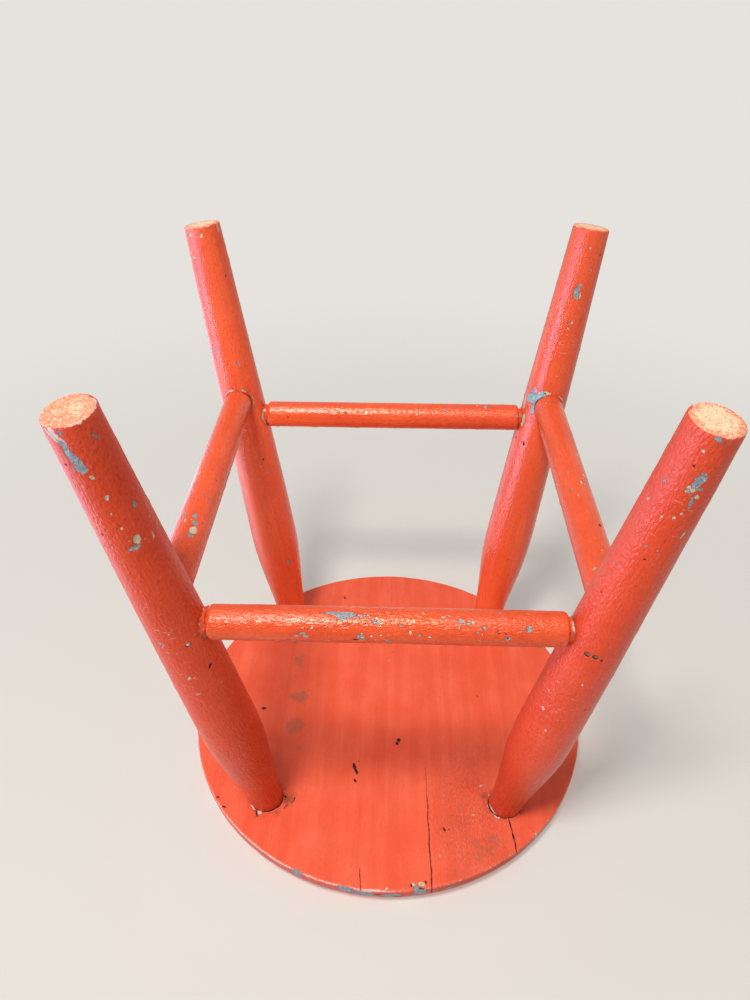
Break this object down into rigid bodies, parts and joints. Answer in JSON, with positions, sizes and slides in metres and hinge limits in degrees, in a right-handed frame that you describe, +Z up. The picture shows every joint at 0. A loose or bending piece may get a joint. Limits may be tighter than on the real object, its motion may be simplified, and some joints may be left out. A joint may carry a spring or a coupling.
{
  "type": "round wooden stool",
  "caption": "Low round wooden stool: thin two-board seat on splayed turned legs wedged through it, tied by round stretchers, in worn red enamel.",
  "frame": {"origin": "middle of the footprint, on the floor plane", "axes": "+Z up, X across the stool, the front faces -Y; the seat's grain runs along Y"},
  "size_m": [0.3, 0.3, 0.356],
  "materials": {
    "painted_seat": "worn semi-gloss enamel",
    "painted_leg": "worn semi-gloss enamel",
    "painted_stretcher": "worn semi-gloss enamel",
    "wedge": "worn semi-gloss enamel",
    "brad": "bare steel"
  },
  "bodies": {
    "root": {"seat_board_wide": "painted_seat", "seat_board_narrow": "painted_seat", "front_left_leg": "painted_leg", "front_right_leg": "painted_leg", "back_left_leg": "painted_leg", "back_right_leg": "painted_leg", "front_stretcher": "painted_stretcher", "back_stretcher": "painted_stretcher", "left_stretcher": "painted_stretcher", "right_stretcher": "painted_stretcher", "front_left_wedge": "wedge", "front_right_wedge": "wedge", "back_left_wedge": "wedge", "back_right_wedge": "wedge", "stretcher_brads": "brad"}
  },
  "joints": []
}
